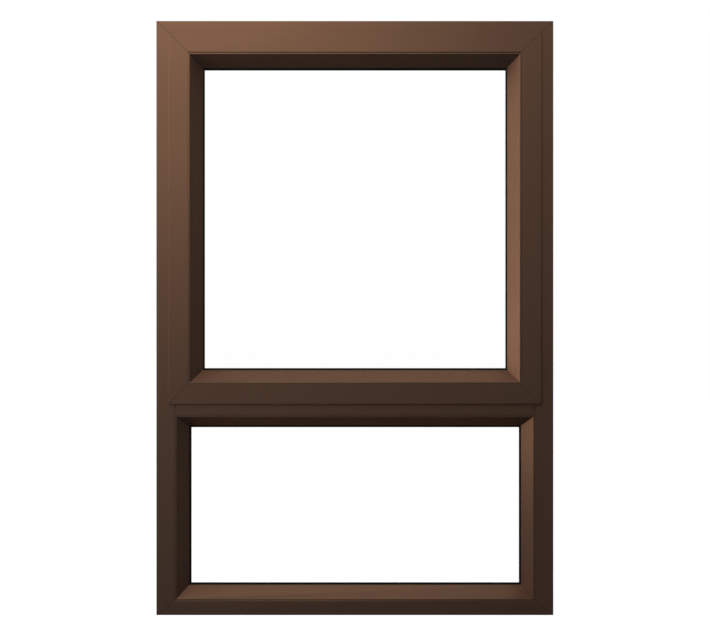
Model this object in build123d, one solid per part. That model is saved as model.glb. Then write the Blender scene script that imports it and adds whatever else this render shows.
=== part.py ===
from build123d import *
import os

# Aluminium window: a square top-hung sash above a fixed light, glazed from outside with bevelled beads.
# The outside faces -Y and +Z is up. The origin is the middle of the sill's underside.
# In every section, x is the way in from the outer edge towards the glass and y the depth behind the face.

# Whole window
frame_width = 600
frame_height = 898
section_depth = 30.5
wall = 1.6
face_wall = 1.8

# Frame members
jamb_face = 28
sill_face = 22
jamb_box = 18
flange_reach = 16
lip_depth = 4
lip_wall = 1.8

# Transom
transom_bottom = 302
transom_box_top = 322
transom_flange_top = 328
transom_stop_top = 344
transom_end_gap = 0.5

# Opening sash
sash_side_margin = 19
sash_head_margin = 18
sash_bottom = 320
sash_proud = 6
sash_lip = 12
sash_face = 30

# Glazing, from the edge of the face inwards and behind that face
glass_front = 22
glass_thickness = 4
glass_clearance = 4
bead_gap = 0.3
bead_land = 2
fixed_bead_nose = 18
sash_bead_nose = 19
bead_depth = 20
bead_wall = 1.3
bead_clip = 0.8
bead_clip_at = 16.5
sash_top_bead_drop = 0.9
fixed_gasket_reach = 3
sash_gasket_reach = 2.5
sash_gasket_rise = 0.5
sash_gasket_drop = 1.9
groove_start = 11
groove_lip = 1.2
groove_height = 1.2
block_length = 80

# Fixing holes
fixing_radius = 2.75
fixing_depth = 12
jamb_fixing_heights = (150, 550)
head_fixing_places = (-150, 150)

# Drain slots, under the panes and behind the sash's lower lip
drain_length = 25
drain_width = 4
drain_places = (-215, 215)
weep_places = (-150, 150)

# Friction stays, folded in the cavity between jamb and stile, measured from the jamb's box
stay_depth = (5, 23)
stay_bottom = 618
stay_top = 866
stay_track_height = 5
stay_sheet = 1.4
stay_arm_from = 5.6
stay_arm_thickness = 2.6
stay_arm_width = 15
stay_cavity = sash_side_margin + sash_lip - jamb_box

# Handle on the room side of the sash
handle_height = 355
handle_screws = 28
lever_stations = ((0, 25.6, 15, 6), (26, 26.9, 10.5, 6), (62, 27.4, 12, 5.4), (97, 26, 15, 4.4))

front = -section_depth / 2
back = section_depth / 2
sash_front = front - sash_proud
stop_front = section_depth - face_wall
frame_loop = (-frame_width / 2, frame_width / 2, 0, frame_height)
fixed_loop = (-frame_width / 2 + jamb_face, frame_width / 2 - jamb_face, sill_face, transom_bottom)
sash_loop = (
    -frame_width / 2 + sash_side_margin,
    frame_width / 2 - sash_side_margin,
    sash_bottom,
    frame_height - sash_head_margin,
)
sides = ("left", "right", "bottom", "top")
inward = {
    "left": Vector(1, 0, 0),
    "right": Vector(-1, 0, 0),
    "bottom": Vector(0, 0, 1),
    "top": Vector(0, 0, -1),
}


def polygon(*points):
    return make_face(Polyline(*points, close=True))


def rounded(section, radius, *points):
    """The section with the corners nearest to the points rounded."""
    corners = [section.vertices().sort_by_distance(Vector(*point))[0] for point in points]
    return fillet(corners, radius)


def inset(loop, distance):
    left, right, bottom, top = loop
    return (left + distance, right - distance, bottom + distance, top - distance)


def bar(section, side, loop, face_y):
    """The section run along one side of the loop, far past both corners."""
    left, right, bottom, top = loop
    middle = {
        "left": (left, (bottom + top) / 2),
        "right": (right, (bottom + top) / 2),
        "bottom": ((left + right) / 2, bottom),
        "top": ((left + right) / 2, top),
    }[side]
    along = inward[side].cross(Vector(0, 1, 0))
    plane = Plane(origin=(middle[0], face_y, middle[1]), x_dir=inward[side], z_dir=along)
    return extrude(plane * section, amount=frame_height, both=True)


def mitre(side, loop, lower_cut=((-8, -8), (60, 60)), upper_cut=((-8, -8), (60, 60))):
    """The space that a side's bar may fill between the saw cuts at its two corners."""
    left, right, bottom, top = loop
    lower_left = [(left + x, bottom + z) for x, z in lower_cut]
    lower_right = [(right - x, bottom + z) for x, z in lower_cut]
    upper_left = [(left + x, top - z) for x, z in upper_cut]
    upper_right = [(right - x, top - z) for x, z in upper_cut]
    ends = {
        "left": (lower_left, upper_left),
        "right": (lower_right, upper_right),
        "bottom": (lower_left, lower_right),
        "top": (upper_left, upper_right),
    }[side]
    outline = polygon(*ends[0], *reversed(ends[1]))
    return extrude(Plane.XZ * outline, amount=section_depth * 2, both=True)


def hoop(section, loop, face_y):
    """A seal or gasket that runs round the whole loop, joined at its corners."""
    strips = [bar(section, side, loop, face_y) & mitre(side, loop) for side in sides]
    return strips[0] + strips[1:]


def slab(x, y, z):
    """A block between two limits along each axis."""
    size = (x[1] - x[0], y[1] - y[0], z[1] - z[0])
    return Pos((x[0] + x[1]) / 2, (y[0] + y[1]) / 2, (z[0] + z[1]) / 2) * Box(*size)


def rebate(edge):
    """The glazing flange and its gasket groove, as the points that follow the wall at edge."""
    start = edge + groove_start
    tip = edge + flange_reach
    crest = stop_front - groove_height
    return [
        (edge, stop_front),
        (start, stop_front),
        (start, crest),
        (start + groove_lip, crest),
        (start + groove_lip, stop_front),
        (tip - groove_lip, stop_front),
        (tip - groove_lip, crest),
        (tip, crest),
        (tip, section_depth),
    ]


def countersunk(hole_radius, head_radius):
    """A screw hole to cut, its head upwards in the plane of the origin."""
    rise = head_radius - hole_radius
    return Pos(0, 0, -6) * Cylinder(hole_radius, 12) + Pos(0, 0, -rise / 2) * Cone(hole_radius, head_radius, rise)


def clip_slot(edge):
    """The slot that a bead's foot snaps into, in a wall that ends at edge."""
    return Pos(edge - bead_clip / 2, bead_clip_at) * Rectangle(bead_clip, 1.2)


def jamb_section():
    tip = jamb_face + flange_reach
    outline = polygon(
        (0, 0),
        (jamb_face, 0),
        (jamb_face, lip_depth),
        (jamb_face - lip_wall, lip_depth),
        (jamb_face - lip_wall, face_wall),
        (jamb_box, face_wall),
        (jamb_box, stop_front),
        *rebate(jamb_face)[1:],
        (0, section_depth),
    )
    hollow = polygon(
        (wall, face_wall),
        (jamb_box - wall, face_wall),
        (jamb_box - wall, stop_front),
        (wall, stop_front),
    )
    outline = rounded(outline, 0.5, (0, 0), (jamb_face, 0), (0, section_depth), (tip, section_depth))
    return outline - hollow


def sill_section():
    outline = polygon((0, 0), (sill_face, 0), *rebate(sill_face), (0, section_depth))
    hollow = polygon(
        (wall, face_wall),
        (sill_face - wall, face_wall),
        (sill_face - wall, stop_front),
        (wall, stop_front),
    )
    return rounded(outline, 0.5, (0, 0), (sill_face, 0)) - hollow - clip_slot(sill_face)


def sash_section():
    outline = polygon(
        (0, 0),
        (sash_face, 0),
        *rebate(sash_face),
        (sash_lip, section_depth),
        (sash_lip, face_wall),
        (lip_wall, face_wall),
        (lip_wall, lip_depth),
        (0, lip_depth),
    )
    hollow = polygon(
        (sash_lip + wall, face_wall),
        (sash_face - wall, face_wall),
        (sash_face - wall, stop_front),
        (sash_lip + wall, stop_front),
    )
    return rounded(outline, 0.8, (0, 0)) - hollow - clip_slot(sash_face)


def transom_section():
    """Measured upwards from the lower edge of its face."""
    box = transom_box_top - transom_bottom
    flange = transom_flange_top - transom_bottom
    stop = transom_stop_top - transom_bottom
    lower = [(-x, y) for x, y in rebate(0)]
    upper = [(stop - flange_reach + x, y) for x, y in rebate(0)[1:]]
    outline = polygon(
        *reversed(lower),
        (0, 0),
        (flange, 0),
        (flange, lip_depth),
        (flange - lip_wall, lip_depth),
        (flange - lip_wall, face_wall),
        (box, face_wall),
        (box, stop_front),
        *upper,
    )
    hollow = polygon(
        (wall, face_wall),
        (box - wall, face_wall),
        (box - wall, stop_front),
        (wall, stop_front),
    )
    slot = Pos(bead_clip / 2, bead_clip_at) * Rectangle(bead_clip, 1.2)
    return rounded(outline, 0.5, (0, 0)) - hollow - slot


def bead_section(nose):
    outline = polygon(
        (bead_gap, bead_gap),
        (bead_gap + bead_land, bead_gap),
        (nose, bead_depth - 0.6),
        (nose, bead_depth),
        (0, bead_depth),
        (0, 1.6),
        (bead_gap, 1.3),
    )
    hollow = offset(outline, amount=-bead_wall, kind=Kind.INTERSECTION)
    foot = Pos(-bead_clip / 2, bead_clip_at) * Rectangle(bead_clip, 1)
    return rounded(outline, 0.4, (bead_gap + bead_land, bead_gap)) - hollow + foot


def frame_members():
    straight = ((-8, -8), (60, 60))
    to_sill = ((0, 0), (jamb_face, sill_face), (jamb_face + 40, sill_face + 40))
    members = {}
    for side in sides:
        section = sill_section() if side == "bottom" else jamb_section()
        piece = bar(section, side, frame_loop, front) & mitre(side, frame_loop, to_sill, straight)
        members[side] = piece
    hole = Cylinder(fixing_radius, 60)
    across = front + fixing_depth
    for height in jamb_fixing_heights:
        members["left"] -= Pos(frame_loop[0], across, height) * Rot(0, 90, 0) * hole
        members["right"] -= Pos(frame_loop[1], across, height) * Rot(0, 90, 0) * hole
    for place in head_fixing_places:
        members["top"] -= Pos(place, across, frame_height) * hole
    members["bottom"] -= drains(frame_loop[2], sill_face, front)
    return {
        "frame_jamb_left": members["left"],
        "frame_jamb_right": members["right"],
        "frame_sill": members["bottom"],
        "frame_head": members["top"],
    }


def drains(underside, platform, face_y):
    """Slots through a rail's platform, under the pane, and nearer the face through its underside."""
    slots = []
    for place in drain_places:
        across = (place - drain_length / 2, place + drain_length / 2)
        under_pane = face_y + glass_front
        slots.append(slab(across, (under_pane, under_pane + drain_width), (platform - 3, platform + 1)))
        slots.append(slab(across, (face_y + 6, face_y + 6 + drain_width), (underside - 1, underside + 3)))
    return slots[0] + slots[1:]


def transom():
    """Butts against the jambs' boxes, with its ends cut away round their lips and stops."""
    half = frame_width / 2 - jamb_box
    lip_half = frame_width / 2 - jamb_face - transom_end_gap
    stop_half = frame_width / 2 - jamb_face - flange_reach
    plane = Plane(origin=(0, front, transom_bottom), x_dir=(0, 0, 1), z_dir=(-1, 0, 0))
    piece = extrude(plane * transom_section(), amount=half, both=True)
    height = (transom_bottom - 40, transom_stop_top + 40)
    for way in (-1, 1):
        lip_cut = sorted((way * lip_half, way * (half + 1)))
        stop_cut = sorted((way * stop_half, way * (half + 1)))
        piece -= slab(lip_cut, (front - 1, front + lip_depth), height)
        piece -= slab(stop_cut, (back - face_wall - groove_height, back + 1), height)
    for place in weep_places:
        across = (place - drain_length / 2, place + drain_length / 2)
        piece -= slab(across, (front - 1, front + face_wall + 1), (transom_box_top, transom_box_top + 3))
    return piece


def adaptor(side):
    """Fills the jamb's cavity beside the fixed light, to carry the bead."""
    depth = stop_front - lip_depth
    width = jamb_face - jamb_box
    tube = Pos(width / 2, lip_depth + depth / 2) * (
        Rectangle(width, depth) - Rectangle(width - 2 * wall, depth - 2 * wall)
    )
    loop = inset(fixed_loop, jamb_box - jamb_face)
    reach = slab((-frame_width, frame_width), (front, back), (sill_face, transom_bottom))
    return bar(tube - clip_slot(width), side, loop, front) & reach


def beads(name, loop, face_y, nose):
    section = bead_section(nose)
    return {
        f"{name}_bead_{side}": bar(section, side, loop, face_y) & mitre(side, loop) for side in sides
    }


def glazing(name, loop, face_y, gasket_loop, gasket_edges):
    """The pane of one light with its gaskets and setting blocks."""
    nose, tip = gasket_edges
    left, right, bottom, top = inset(loop, glass_clearance)
    pane_front = face_y + glass_front
    pane_back = pane_front + glass_thickness
    inner = glass_front + glass_thickness
    outer_gasket = polygon(
        (8, bead_depth),
        (nose + 0.4, bead_depth),
        (tip - 0.5, bead_depth + 0.4),
        (tip, bead_depth + 1.1),
        (tip, glass_front),
        (8, glass_front),
    )
    foot = groove_start + groove_lip + 0.1
    foot_end = flange_reach - groove_lip - 0.1
    inner_gasket = polygon(
        (groove_start, inner),
        (flange_reach + 1.5, inner),
        (flange_reach + 1.5, inner + 1.2),
        (flange_reach, inner + 1.5),
        (foot_end, inner + 1.5),
        (foot_end, stop_front),
        (foot, stop_front),
        (foot, inner + 1.5),
        (groove_start, inner + 1.5),
    )
    quarter = (right - left) / 4
    blocks = [
        slab(
            (x - block_length / 2, x + block_length / 2),
            (pane_front - 1, pane_back + 1),
            (bottom - glass_clearance, bottom),
        )
        for x in (-quarter, quarter)
    ]
    return {
        f"{name}_glass": slab((left, right), (pane_front, pane_back), (bottom, top)),
        f"{name}_gasket_outer": hoop(outer_gasket, gasket_loop, face_y),
        f"{name}_gasket_inner": hoop(inner_gasket, loop, face_y),
        f"{name}_setting_blocks": blocks[0] + blocks[1],
    }


def sash_members():
    section = sash_section()
    names = {
        "left": "sash_stile_left",
        "right": "sash_stile_right",
        "bottom": "sash_bottom_rail",
        "top": "sash_top_rail",
    }
    members = {
        names[side]: bar(section, side, sash_loop, sash_front) & mitre(side, sash_loop) for side in sides
    }
    members["sash_bottom_rail"] -= drains(sash_bottom + sash_lip, sash_bottom + sash_face, sash_front)
    return members


def weather_seals():
    """A bulb on the frame's stop that the sash closes on, and a fin under the sash's lip."""
    middle = jamb_face + (groove_start + flange_reach) / 2
    crest = stop_front - groove_height
    sash_back = section_depth - sash_proud
    foot = Pos(0, (crest + stop_front) / 2) * Rectangle(2.4, groove_height)
    rise = crest - sash_back
    bulb = polygon(
        (-2.4, crest),
        (-2.2, crest - 1.6),
        (-1, sash_back),
        (1, sash_back),
        (2.2, crest - 1.6),
        (2.4, crest),
    )
    bulb -= Pos(0, sash_back + rise / 2 + 0.2) * Circle(0.8)
    stop_loop = (
        frame_loop[0] + middle,
        frame_loop[1] - middle,
        transom_stop_top - flange_reach + (groove_start + flange_reach) / 2,
        frame_loop[3] - middle,
    )
    fin = polygon(
        (3, face_wall),
        (6.4, face_wall),
        (6.4, 3),
        (5, sash_proud),
        (4.2, sash_proud),
        (4.8, 3),
        (3, 3),
    )
    return {
        "frame_weather_seal": hoop(bulb + foot, stop_loop, front),
        "sash_weather_seal": hoop(fin, sash_loop, sash_front),
    }


def friction_stay():
    """The left stay, closed: a track on the jamb, a plate on the stile and two arms between them."""
    wall_face = frame_loop[0] + jamb_box
    middle = front + sum(stay_depth) / 2
    arm_top = stay_arm_from + stay_arm_thickness
    plate_from = stay_cavity - stay_arm_thickness

    def block(out, half_width, z):
        across = (wall_face + out[0], wall_face + out[1])
        return slab(across, (middle - half_width, middle + half_width), z)

    def disc(out, radius, z):
        centre = wall_face + sum(out) / 2
        return Pos(centre, middle, z) * Rot(0, 90, 0) * Cylinder(radius, out[1] - out[0])

    def arm(out, z):
        plane = Plane(origin=(wall_face + out[0], middle, sum(z) / 2), x_dir=(0, 0, 1), z_dir=(1, 0, 0))
        return extrude(plane * SlotOverall(z[1] - z[0], stay_arm_width), amount=out[1] - out[0])

    half = (stay_depth[1] - stay_depth[0]) / 2
    length = (stay_bottom, stay_top)
    lips_from = stay_track_height - stay_sheet
    track = block((0, stay_track_height), half, length)
    track -= block((stay_sheet, lips_from), half - stay_sheet, length)
    track -= block((stay_sheet, stay_track_height), half - 3.6, length)
    for height in (stay_bottom + 12, stay_bottom + 120, stay_top - 70):
        track -= disc((-1, stay_sheet + 1), 2.2, height)

    side = stay_arm_width / 2
    nose = [(side, 0), (side, 220), (2.5, 232), (-2.5, 232), (-side, 220), (-side, 0)]
    start = stay_bottom + 14
    nose_plane = Plane(origin=(wall_face + plate_from, middle, start), x_dir=(0, -1, 0), z_dir=(1, 0, 0))
    plate = extrude(nose_plane * polygon(*nose), amount=stay_arm_thickness)
    screw = Pos(wall_face + plate_from, middle, 0) * Rot(0, -90, 0) * countersunk(2.1, 3.9)
    for height in (start + 10, start + 60, start + 132, start + 168):
        plate -= Pos(0, 0, height) * screw

    cap = block((stay_sheet, stay_cavity - 0.2), half, (stay_top - 16, stay_top))
    pocket = extrude(nose_plane * offset(polygon(*nose), amount=0.4), amount=stay_cavity)
    cap -= Pos(-0.4, 0, 0) * pocket
    cap -= block((stay_sheet, stay_track_height), half, (stay_top - 17, stay_top)) - block(
        (stay_sheet, stay_track_height), half - 3.6, (stay_top - 17, stay_top)
    )
    pivot_base = block((stay_sheet, stay_arm_from), half - 3.6, (stay_top - 60, stay_top - 16))

    slider_at = stay_bottom + 40
    slider = block((stay_sheet, lips_from), half - stay_sheet - 0.2, (slider_at - 16, slider_at + 16))
    slider += block((lips_from, stay_arm_from), half - 4, (slider_at - 13, slider_at + 13))

    long_arm = arm((stay_arm_from, arm_top), (slider_at - 9, stay_top - 66))
    long_arm += disc((arm_top, arm_top + 1.2), 4, slider_at)
    long_arm += disc((arm_top, plate_from), 5.5, stay_top - 75)
    short_arm = arm((stay_arm_from, arm_top), (stay_top - 62, stay_top - 18))
    short_arm += disc((arm_top, arm_top + 1.2), 4, stay_top - 27)
    short_arm += disc((arm_top, plate_from), 5.5, stay_top - 53)
    return {
        "track": track + cap + pivot_base,
        "slider": slider,
        "long_arm": long_arm,
        "short_arm": short_arm,
        "sash_plate": plate,
    }


def handle():
    """Cam handle on the bottom rail; its tongue draws the sash onto the transom's stop."""
    room_face = sash_front + section_depth
    hub = Pos(0, 0, handle_height) * Rot(-90, 0, 0)
    plate = extrude(Plane.XZ * Pos(0, handle_height) * SlotOverall(76, 20), amount=-5)
    plate = Pos(0, room_face, 0) * plate
    plate = fillet(plate.faces().sort_by(Axis.Y)[-1].edges(), 1.8)
    for way in (-1, 1):
        plate -= Pos(way * handle_screws, room_face + 5, 0) * hub * countersunk(2.2, 4.2)
    keeper_top = back + 2
    tongue = slab((-6, 6), (keeper_top, keeper_top + 3), (330, handle_height))
    tongue += Pos(0, keeper_top + 1.5, 0) * hub * Cylinder(8, 3)
    boss_start = keeper_top + 3
    boss = Pos(0, boss_start + 4, 0) * hub * Cylinder(9.5, 8)
    boss = fillet(boss.faces().sort_by(Axis.Y)[-1].edges(), 1.6)
    sections = []
    for along, centre, height, thickness in lever_stations:
        plane = Plane(origin=(along, centre, handle_height), x_dir=(0, 0, 1), z_dir=(1, 0, 0))
        sections.append(plane * RectangleRounded(height, thickness, thickness / 2 - 0.1))
    lever = loft(sections)
    lever = fillet(lever.faces().sort_by(Axis.X)[-1].edges(), 1.4)
    base_post = Pos(0, (room_face + 5 + keeper_top) / 2, 0) * hub * Cylinder(7, keeper_top - room_face - 5)
    keeper = slab((-17, 17), (back, keeper_top), (326, 343))
    keeper = chamfer(keeper.faces().sort_by(Axis.Y)[-1].edges(), 0.8)
    for way in (-1, 1):
        keeper -= Pos(way * 11.5, keeper_top, 334.5 - handle_height) * hub * countersunk(1.7, 3.2)
    return {
        "handle_base": plate + base_post,
        "handle_tongue": tongue,
        "handle_lever": boss + lever,
        "handle_keeper": keeper,
    }


pieces = frame_members()
pieces["transom"] = transom()
pieces["fixed_adaptor_left"] = adaptor("left")
pieces["fixed_adaptor_right"] = adaptor("right")
pieces.update(beads("fixed", fixed_loop, front, fixed_bead_nose))
fixed_edges = (fixed_bead_nose, fixed_bead_nose + fixed_gasket_reach)
pieces.update(glazing("fixed", fixed_loop, front, fixed_loop, fixed_edges))
pieces.update(sash_members())
left, right, bottom, top = inset(sash_loop, sash_face)
bead_loop = (left, right, bottom, top - sash_top_bead_drop)
gasket_loop = (left, right, bottom + sash_gasket_rise, top - sash_gasket_drop)
pieces.update(beads("sash", bead_loop, sash_front, sash_bead_nose))
sash_edges = (sash_bead_nose, sash_bead_nose + sash_gasket_reach)
pieces.update(glazing("sash", (left, right, bottom, top), sash_front, gasket_loop, sash_edges))
pieces.update(weather_seals())
for seal in ("fixed_gasket_inner", "frame_weather_seal"):
    pieces[seal] -= pieces["frame_jamb_left"] + pieces["frame_jamb_right"]
for part, shape in friction_stay().items():
    pieces[f"stay_left_{part}"] = shape
    pieces[f"stay_right_{part}"] = mirror(shape, about=Plane.YZ)
pieces.update(handle())

os.makedirs("parts", exist_ok=True)
for name, shape in pieces.items():
    export_step(shape, f"parts/{name}.step")
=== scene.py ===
import math

import bmesh
import bpy
from mathutils import Matrix, Vector


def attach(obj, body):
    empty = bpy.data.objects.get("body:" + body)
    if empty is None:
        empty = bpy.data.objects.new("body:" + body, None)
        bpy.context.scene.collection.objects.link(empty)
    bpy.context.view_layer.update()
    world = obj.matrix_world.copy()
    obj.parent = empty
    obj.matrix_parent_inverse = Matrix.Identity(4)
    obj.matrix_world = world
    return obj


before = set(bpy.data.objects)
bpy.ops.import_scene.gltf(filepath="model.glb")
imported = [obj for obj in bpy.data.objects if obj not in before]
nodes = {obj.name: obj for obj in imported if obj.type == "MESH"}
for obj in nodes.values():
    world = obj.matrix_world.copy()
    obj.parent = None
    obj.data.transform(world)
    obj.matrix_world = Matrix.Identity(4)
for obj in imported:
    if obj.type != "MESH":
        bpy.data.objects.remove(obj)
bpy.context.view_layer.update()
print("window loaded:", len(nodes), "nodes")


# Node helpers

def newMaterial(name):
    material = bpy.data.materials.new(name)
    material.use_nodes = True
    tree = material.node_tree
    tree.nodes.clear()
    output = tree.nodes.new("ShaderNodeOutputMaterial")
    shader = tree.nodes.new("ShaderNodeBsdfPrincipled")
    tree.links.new(shader.outputs["BSDF"], output.inputs["Surface"])
    return material, tree, shader, output


# Noise on the object's own metres, drawn out along an axis where stretch is below 1
def noise(tree, scale, detail=2.0, stretch=(1, 1, 1)):
    place = tree.nodes.new("ShaderNodeTexCoord")
    mapping = tree.nodes.new("ShaderNodeMapping")
    mapping.inputs["Scale"].default_value = stretch
    texture = tree.nodes.new("ShaderNodeTexNoise")
    texture.inputs["Scale"].default_value = scale
    texture.inputs["Detail"].default_value = detail
    tree.links.new(place.outputs["Object"], mapping.inputs["Vector"])
    tree.links.new(mapping.outputs["Vector"], texture.inputs["Vector"])
    return texture.outputs["Fac"]


def blend(tree, factor, first, second):
    mix = tree.nodes.new("ShaderNodeMix")
    mix.data_type = "RGBA"
    mix.inputs["A"].default_value = (*first, 1)
    mix.inputs["B"].default_value = (*second, 1)
    tree.links.new(factor, mix.inputs["Factor"])
    return mix.outputs["Result"]


noiseReach = (0.3, 0.7)  # nearly all of a noise lies between these


# Turns a noise into a value between low and high
def spread(tree, factor, low, high):
    span = tree.nodes.new("ShaderNodeMapRange")
    span.inputs["From Min"].default_value, span.inputs["From Max"].default_value = noiseReach
    span.inputs["To Min"].default_value = low
    span.inputs["To Max"].default_value = high
    tree.links.new(factor, span.inputs["Value"])
    return span.outputs["Result"]


def bump(tree, shader, height, strength, distance):
    relief = tree.nodes.new("ShaderNodeBump")
    relief.inputs["Strength"].default_value = strength
    relief.inputs["Distance"].default_value = distance
    tree.links.new(height, relief.inputs["Height"])
    tree.links.new(relief.outputs["Normal"], shader.inputs["Normal"])


# Materials

bronze = {
    "colour": (0.130, 0.0635, 0.033),
    "deeper": (0.116, 0.0565, 0.0295),
    "metallic": 0.92,
    "tint": (1, 0.5, 0.26, 1),
    "roughness": (0.37, 0.43),
    "lacquer": 0.85,
    "lacquerRoughness": 0.9,
    "cloudScale": 9,
    "drawScale": 900,
    "drawStretch": 0.02,
    "grain": 0.05,
    "grainDepth": 0.0001,
}


# Satin bronze coat on an extrusion; its faint drawing lines run along one axis
def bronzeMetal(name, along):
    material, tree, shader, output = newMaterial(name)
    stretch = [1, 1, 1]
    stretch["xyz".index(along)] = bronze["drawStretch"]
    lines = noise(tree, bronze["drawScale"], stretch=stretch)
    cloud = noise(tree, bronze["cloudScale"], 3)
    tint = blend(tree, cloud, bronze["colour"], bronze["deeper"])
    tree.links.new(tint, shader.inputs["Base Color"])
    tree.links.new(spread(tree, lines, *bronze["roughness"]), shader.inputs["Roughness"])
    shader.inputs["Metallic"].default_value = bronze["metallic"]
    shader.inputs["Specular Tint"].default_value = bronze["tint"]
    shader.inputs["Coat Weight"].default_value = bronze["lacquer"]
    shader.inputs["Coat Roughness"].default_value = bronze["lacquerRoughness"]
    bump(tree, shader, lines, bronze["grain"], bronze["grainDepth"])
    return material


rubber = {
    "colour": (0.003, 0.0034, 0.0034),
    "worn": (0.005, 0.0054, 0.005),
    "roughness": (0.6, 0.75),
    "gloss": 0.1,
    "speckleScale": 600,
    "grain": 0.1,
    "grainDepth": 0.0001,
}


def blackRubber():
    material, tree, shader, output = newMaterial("blackRubber")
    speckle = noise(tree, rubber["speckleScale"], 3)
    tree.links.new(blend(tree, speckle, rubber["colour"], rubber["worn"]), shader.inputs["Base Color"])
    tree.links.new(spread(tree, speckle, *rubber["roughness"]), shader.inputs["Roughness"])
    shader.inputs["Specular IOR Level"].default_value = rubber["gloss"]
    bump(tree, shader, speckle, rubber["grain"], rubber["grainDepth"])
    return material


glass = {
    "tint": (1, 1, 1),
    "hazed": (0.998, 1, 0.999),
    "hazeScale": 6,
    "index": 1.2,  # below real glass, so that the pane shows little of the lamps
    "gloss": 0,
}


# Clear float glass that lets the lamps' light through to what is behind
def clearGlass():
    material, tree, shader, output = newMaterial("clearGlass")
    haze = noise(tree, glass["hazeScale"])
    tree.links.new(blend(tree, haze, glass["tint"], glass["hazed"]), shader.inputs["Base Color"])
    shader.inputs["Transmission Weight"].default_value = 1
    shader.inputs["Roughness"].default_value = 0
    shader.inputs["IOR"].default_value = glass["index"]
    shader.inputs["Specular IOR Level"].default_value = glass["gloss"]
    path = tree.nodes.new("ShaderNodeLightPath")
    clear = tree.nodes.new("ShaderNodeBsdfTransparent")
    mix = tree.nodes.new("ShaderNodeMixShader")
    tree.links.new(path.outputs["Is Shadow Ray"], mix.inputs["Fac"])
    tree.links.new(shader.outputs["BSDF"], mix.inputs[1])
    tree.links.new(clear.outputs["BSDF"], mix.inputs[2])
    tree.links.new(mix.outputs["Shader"], output.inputs["Surface"])
    return material


plastic = {
    "colour": (0.05, 0.052, 0.055),
    "paler": (0.07, 0.072, 0.075),
    "roughness": (0.45, 0.6),
    "grainScale": 300,
}


# Moulded plastic of the setting blocks
def greyPlastic():
    material, tree, shader, output = newMaterial("greyPlastic")
    grain = noise(tree, plastic["grainScale"])
    tree.links.new(blend(tree, grain, plastic["colour"], plastic["paler"]), shader.inputs["Base Color"])
    tree.links.new(spread(tree, grain, *plastic["roughness"]), shader.inputs["Roughness"])
    return material


powderCoat = {
    "colour": (0.012, 0.011, 0.010),
    "paler": (0.02, 0.018, 0.016),
    "roughness": (0.32, 0.45),
    "peelScale": 500,
    "peel": 0.12,
    "peelDepth": 0.0002,
}


# Powder-coated casting of the handle
def blackMetal():
    material, tree, shader, output = newMaterial("blackMetal")
    peel = noise(tree, powderCoat["peelScale"], 3)
    tint = blend(tree, peel, powderCoat["colour"], powderCoat["paler"])
    tree.links.new(tint, shader.inputs["Base Color"])
    tree.links.new(spread(tree, peel, *powderCoat["roughness"]), shader.inputs["Roughness"])
    bump(tree, shader, peel, powderCoat["peel"], powderCoat["peelDepth"])
    return material


brushed = {
    "colour": (0.5, 0.5, 0.5),
    "paler": (0.62, 0.62, 0.61),
    "roughness": (0.25, 0.4),
    "brushScale": 800,
    "stretch": (1, 1, 0.03),
}


# Brushed steel of the stays, the keeper, the screws and the cap
def steel():
    material, tree, shader, output = newMaterial("steel")
    brush = noise(tree, brushed["brushScale"], stretch=brushed["stretch"])
    tree.links.new(blend(tree, brush, brushed["colour"], brushed["paler"]), shader.inputs["Base Color"])
    tree.links.new(spread(tree, brush, *brushed["roughness"]), shader.inputs["Roughness"])
    shader.inputs["Metallic"].default_value = 1
    return material


finishes = {
    "bronzeAcross": bronzeMetal("bronzeAcross", "x"),
    "bronzeUpright": bronzeMetal("bronzeUpright", "z"),
    "rubber": blackRubber(),
    "glass": clearGlass(),
    "plastic": greyPlastic(),
    "black": blackMetal(),
    "steel": steel(),
}
print("materials made:", len(finishes))


def finishOf(name):
    if "glass" in name:
        return "glass"
    if "gasket" in name or "seal" in name:
        return "rubber"
    if "blocks" in name:
        return "plastic"
    if name == "handle_keeper" or name.startswith("stay"):
        return "steel"
    if name.startswith("handle"):
        return "black"
    if "left" in name or "right" in name:
        return "bronzeUpright"
    return "bronzeAcross"


for name, node in nodes.items():
    node.data.materials.clear()
    node.data.materials.append(finishes[finishOf(name)])
print("frame, sash and glazing finished")


# Arrises

arris = {"width": 0.0003, "segments": 2, "sharperThan": 35, "weld": 0.00001}


# Eases the sharp edges of a metal node as far as its shortest edges allow
def easeEdges(node):
    weld = node.modifiers.new("weld", "WELD")
    weld.merge_threshold = arris["weld"]
    bevel = node.modifiers.new("arris", "BEVEL")
    bevel.width = arris["width"]
    bevel.segments = arris["segments"]
    bevel.limit_method = "ANGLE"
    bevel.angle_limit = math.radians(arris["sharperThan"])
    bevel.use_clamp_overlap = True
    bevel.harden_normals = True


for name, node in nodes.items():
    if finishOf(name).startswith("bronze"):
        easeEdges(node)
print("arrises eased")


# Fine pieces

def finishPiece(name, form, finish):
    mesh = bpy.data.meshes.new(name)
    form.to_mesh(mesh)
    form.free()
    mesh.materials.append(finishes[finish])
    piece = bpy.data.objects.new(name, mesh)
    bpy.context.scene.collection.objects.link(piece)
    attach(piece, "root")


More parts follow.
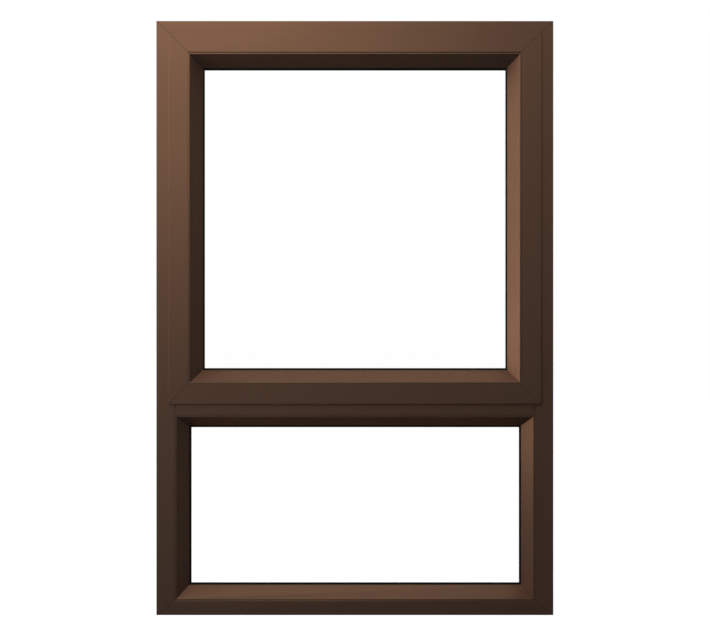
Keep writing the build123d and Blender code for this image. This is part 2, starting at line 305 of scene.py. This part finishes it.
# Hairline of dark sealer along each mitre, a little proud, as x, z of its outer and inner ends
seam = {
    "width": 0.0004,
    "thickness": 0.0003,
    "proud": 0.00002,
    "frameFace": -0.01525,
    "frameBack": 0.01525,
    "sashFace": -0.02125,
    "sashBack": 0.00925,
    "onFrameFace": (((0.2994, 0.0006), (0.2723, 0.0217)), ((0.2994, 0.8974), (0.2815, 0.8795))),
    "onSashFace": (((0.2806, 0.3204), (0.2514, 0.3496)), ((0.2806, 0.8796), (0.2514, 0.8504))),
    "onFrameBack": (
        ((0.2994, 0.0006), (0.2723, 0.0217)),
        ((0.2717, 0.0223), (0.2563, 0.0377)),
        ((0.2994, 0.8974), (0.2563, 0.8543)),
    ),
    "onSashBack": (((0.2558, 0.3452), (0.2353, 0.3657)), ((0.2558, 0.8548), (0.2353, 0.8343))),
}


def addSeam(form, start, end, face, outward):
    (startX, startZ), (endX, endZ) = start, end
    depth = face + outward * (seam["proud"] - seam["thickness"] / 2)
    middle = Vector(((startX + endX) / 2, depth, (startZ + endZ) / 2))
    run = Vector((endX - startX, 0, endZ - startZ))
    turn = Matrix.Rotation(-math.atan2(run.z, run.x), 4, "Y")
    size = Matrix.Diagonal((run.length, seam["thickness"], seam["width"], 1))
    bmesh.ops.create_cube(form, size=1, matrix=Matrix.Translation(middle) @ turn @ size)


def makeSeams(name, groups):
    form = bmesh.new()
    for ends, face, outward in groups:
        for start, end in ends:
            addSeam(form, start, end, face, outward)
            addSeam(form, (-start[0], start[1]), (-end[0], end[1]), face, outward)
    finishPiece(name, form, "rubber")


makeSeams("mitreSealerOutside", (
    (seam["onFrameFace"], seam["frameFace"], -1),
    (seam["onSashFace"], seam["sashFace"], -1),
))
makeSeams("mitreSealerInside", (
    (seam["onFrameBack"], seam["frameBack"], 1),
    (seam["onSashBack"], seam["sashBack"], 1),
))
print("mitres sealed")


# Countersunk screws
screw = {
    "head": 0.0039,  # radius
    "shank": 0.0020,  # radius
    "depth": 0.0019,
    "sunk": 0.0001,
    "reach": 0.0019,  # of an arm of the cross
    "arm": 0.00045,  # half its width
    "recess": 0.0012,
    "sides": 32,
    "keeperScale": 0.75,
    "stayScale": 0.9,
}


# A cross-head screw at the place, its head facing along the way given
def addScrew(form, place, way, scale=1.0):
    radius = screw["head"] * scale
    rim = bmesh.ops.create_circle(form, cap_ends=False, radius=radius, segments=screw["sides"])["verts"]
    reach, arm = screw["reach"] * scale, screw["arm"] * scale
    corners = [(reach, arm), (arm, arm), (arm, reach), (-arm, reach), (-arm, arm), (-reach, arm)]
    corners += [(-x, -z) for x, z in corners]
    cross = [form.verts.new((x, z, 0)) for x, z in corners]
    crossEdges = [form.edges.new(pair) for pair in zip(cross, cross[1:] + cross[:1])]
    rimEdges = list({edge for vert in rim for edge in vert.link_edges})
    bmesh.ops.bridge_loops(form, edges=rimEdges + crossEdges)
    sunk = bmesh.ops.extrude_edge_only(form, edges=crossEdges)["geom"]
    low = [item for item in sunk if isinstance(item, bmesh.types.BMVert)]
    bmesh.ops.translate(form, verts=low, vec=(0, 0, -screw["recess"] * scale))
    bmesh.ops.contextual_create(form, geom=[item for item in sunk if isinstance(item, bmesh.types.BMEdge)])
    skirt = bmesh.ops.extrude_edge_only(form, edges=rimEdges)["geom"]
    under = [item for item in skirt if isinstance(item, bmesh.types.BMVert)]
    ratio = screw["shank"] / screw["head"]
    bmesh.ops.scale(form, verts=under, vec=(ratio, ratio, 1))
    bmesh.ops.translate(form, verts=under, vec=(0, 0, -screw["depth"] * scale))
    bmesh.ops.contextual_create(form, geom=[item for item in skirt if isinstance(item, bmesh.types.BMEdge)])
    parts = rim + cross + low + under
    turn = Vector((0, 0, 1)).rotation_difference(Vector(way)).to_matrix().to_4x4()
    sunkPlace = Vector(place) - Vector(way) * screw["sunk"]
    bmesh.ops.transform(form, matrix=Matrix.Translation(sunkPlace) @ turn, verts=parts)


def makeScrews(name, places, way, scale=1.0):
    form = bmesh.new()
    for place in places:
        addScrew(form, place, way, scale)
    bmesh.ops.recalc_face_normals(form, faces=form.faces)
    finishPiece(name, form, "steel")


# Middles of the screw heads; the stays' are mirrored
fixings = {
    "handle": ((-0.028, 0.01425, 0.355), (0.028, 0.01425, 0.355)),
    "keeper": ((-0.0115, 0.01725, 0.3345), (0.0115, 0.01725, 0.3345)),
    "stayHeights": (0.642, 0.692, 0.764, 0.800),
    "stayPlate": 0.2716,
    "stayMiddle": -0.00125,
}
makeScrews("handleScrews", fixings["handle"], (0, 1, 0))
makeScrews("keeperScrews", fixings["keeper"], (0, 1, 0), screw["keeperScale"])
for side, way in (("Left", -1), ("Right", 1)):
    plate, middle = way * fixings["stayPlate"], fixings["stayMiddle"]
    places = [(plate, middle, height) for height in fixings["stayHeights"]]
    makeScrews("stayScrews" + side, places, (way, 0, 0), screw["stayScale"])

cap = {
    "at": (0, 0.02825, 0.355),
    "radius": 0.0045,
    "rise": 0.0007,
    "steps": 5,
    "sides": 40,
    "merge": 0.000001,
}


# The low domed cap over the lever's pivot screw, spun from a quarter of an oval
def makeLeverCap():
    form = bmesh.new()
    profile = []
    for step in range(cap["steps"] + 1):
        angle = math.pi / 2 * step / cap["steps"]
        profile.append(form.verts.new((cap["radius"] * math.cos(angle), cap["rise"] * math.sin(angle), 0)))
    line = [form.edges.new(pair) for pair in zip(profile, profile[1:])]
    whole = {"cent": (0, 0, 0), "axis": (0, 1, 0), "angle": math.tau, "steps": cap["sides"]}
    bmesh.ops.spin(form, geom=profile + line, **whole)
    bmesh.ops.remove_doubles(form, verts=form.verts, dist=cap["merge"])
    bmesh.ops.translate(form, verts=form.verts, vec=cap["at"])
    bmesh.ops.recalc_face_normals(form, faces=form.faces)
    finishPiece("leverCap", form, "steel")


makeLeverCap()
print("screws and cap fitted")


# Studio

studio = {
    "worldLevel": 0.28,
    "bouncedShare": 0.02,
    "floorColour": (0.15, 0.15, 0.15),
    "floorDarker": 0.97,
    "floorCloudScale": 1.5,
    "floorRoughness": 0.9,
    "floorSize": 12,
    "floorWhite": 0.955,
}


def combine(tree, operation, first, second, clamp=False):
    node = tree.nodes.new("ShaderNodeMath")
    node.operation = operation
    node.use_clamp = clamp
    tree.links.new(first, node.inputs[0])
    tree.links.new(second, node.inputs[1])
    return node.outputs["Value"]


# 1 for the camera, straight, through the glass or mirrored in it, and a small share after any rough bounce
def whiteToTheEye(tree, bouncedShare):
    path = tree.nodes.new("ShaderNodeLightPath")
    mirrored = combine(tree, "MULTIPLY", path.outputs["Is Reflection Ray"], path.outputs["Is Singular Ray"])
    seen = combine(tree, "ADD", path.outputs["Is Camera Ray"], path.outputs["Is Transmission Ray"])
    seen = combine(tree, "ADD", seen, path.outputs["Is Glossy Ray"], True)
    bounces = combine(tree, "ADD", path.outputs["Glossy Depth"], path.outputs["Diffuse Depth"])
    rough = combine(tree, "SUBTRACT", bounces, mirrored, True)
    level = tree.nodes.new("ShaderNodeMapRange")
    level.inputs["To Min"].default_value = 1
    level.inputs["To Max"].default_value = bouncedShare
    tree.links.new(rough, level.inputs["Value"])
    return combine(tree, "MULTIPLY", seen, level.outputs["Result"])


def makeWorld():
    world = bpy.data.worlds.new("studio")
    bpy.context.scene.world = world
    world.use_nodes = True
    tree = world.node_tree
    tree.nodes.clear()
    output = tree.nodes.new("ShaderNodeOutputWorld")
    dim = tree.nodes.new("ShaderNodeBackground")
    dim.inputs["Color"].default_value = (1, 1, 1, 1)
    dim.inputs["Strength"].default_value = studio["worldLevel"]
    white = tree.nodes.new("ShaderNodeBackground")
    white.inputs["Color"].default_value = (1, 1, 1, 1)
    white.inputs["Strength"].default_value = 1
    mix = tree.nodes.new("ShaderNodeMixShader")
    tree.links.new(whiteToTheEye(tree, studio["bouncedShare"]), mix.inputs["Fac"])
    tree.links.new(dim.outputs["Background"], mix.inputs[1])
    tree.links.new(white.outputs["Background"], mix.inputs[2])
    tree.links.new(mix.outputs["Shader"], output.inputs["Surface"])


def makeFloor():
    mesh = bpy.data.meshes.new("floor")
    form = bmesh.new()
    bmesh.ops.create_grid(form, x_segments=1, y_segments=1, size=studio["floorSize"] / 2)
    form.to_mesh(mesh)
    form.free()
    floor = bpy.data.objects.new("floor", mesh)
    bpy.context.scene.collection.objects.link(floor)
    material, tree, shader, output = newMaterial("paleFloor")
    cloud = noise(tree, studio["floorCloudScale"])
    base = studio["floorColour"]
    darker = tuple(studio["floorDarker"] * part for part in base)
    tree.links.new(blend(tree, cloud, base, darker), shader.inputs["Base Color"])
    shader.inputs["Roughness"].default_value = studio["floorRoughness"]
    shader.inputs["Specular IOR Level"].default_value = 0
    glow = tree.nodes.new("ShaderNodeEmission")
    glow.inputs["Color"].default_value = (1, 1, 1, 1)
    strength = tree.nodes.new("ShaderNodeMath")
    strength.operation = "MULTIPLY"
    strength.inputs[1].default_value = studio["floorWhite"]
    tree.links.new(whiteToTheEye(tree, studio["bouncedShare"]), strength.inputs[0])
    tree.links.new(strength.outputs["Value"], glow.inputs["Strength"])
    both = tree.nodes.new("ShaderNodeAddShader")
    tree.links.new(shader.outputs["BSDF"], both.inputs[0])
    tree.links.new(glow.outputs["Emission"], both.inputs[1])
    tree.links.new(both.outputs["Shader"], output.inputs["Surface"])
    mesh.materials.append(material)


lamps = {
    "key": {
        "at": (-0.88, -2.2, 1.8), "aim": (0, 0, 0.58),
        "shape": "DISK", "size": (2.7, 2.7), "watts": 25.2,
    },
    "crisp": {
        "at": (-0.6, -1.7, 2.05), "aim": (0, 0, 0.5),
        "shape": "DISK", "size": (0.25, 0.25), "watts": 9.5,
    },
    "left": {
        "at": (-1.3, -0.12, 0.98), "aim": (0, -0.12, 0.9),
        "shape": "RECTANGLE", "size": (0.6, 1.7), "watts": 10.5,
    },
    "leftLow": {
        "at": (-1.0, -0.12, 0.22), "aim": (0, -0.12, 0.1),
        "shape": "RECTANGLE", "size": (0.5, 0.36), "watts": 1.6,
    },
    "top": {
        "at": (0, -0.5, 2.1), "aim": (0, -0.5, 0),
        "shape": "RECTANGLE", "size": (1.6, 0.9), "watts": 5.7,
    },
    "room": {
        "at": (0.8, 2.0, 1.9), "aim": (0, 0, 0.5),
        "shape": "DISK", "size": (1.4, 1.4), "watts": 16,
    },
}


def makeLamp(name, lamp):
    light = bpy.data.lights.new(name, "AREA")
    light.shape = lamp["shape"]
    light.size, light.size_y = lamp["size"]
    light.energy = lamp["watts"]
    holder = bpy.data.objects.new(name, light)
    bpy.context.scene.collection.objects.link(holder)
    holder.location = lamp["at"]
    towards = Vector(lamp["aim"]) - Vector(lamp["at"])
    holder.rotation_euler = towards.to_track_quat("-Z", "Y").to_euler()
    holder.visible_camera = False


def makeCamera(view):
    data = bpy.data.cameras.new("camera")
    data.lens = view["lens"]
    data.sensor_width = view["sensor"]
    data.shift_x, data.shift_y = view["shift"]
    holder = bpy.data.objects.new("camera", data)
    bpy.context.scene.collection.objects.link(holder)
    holder.location = view["at"]
    holder.rotation_euler = (math.radians(90), 0, 0)
    bpy.context.scene.camera = holder


# Square on to the outside, a little right of the middle and above half height
view = {"at": (0.038, -1.465, 0.499), "lens": 48.64, "sensor": 36, "shift": (-0.0352, -0.0465)}

makeWorld()
makeFloor()
for name, lamp in lamps.items():
    makeLamp(name, lamp)
makeCamera(view)
bpy.context.scene.view_settings.view_transform = "Standard"
print("studio ready")
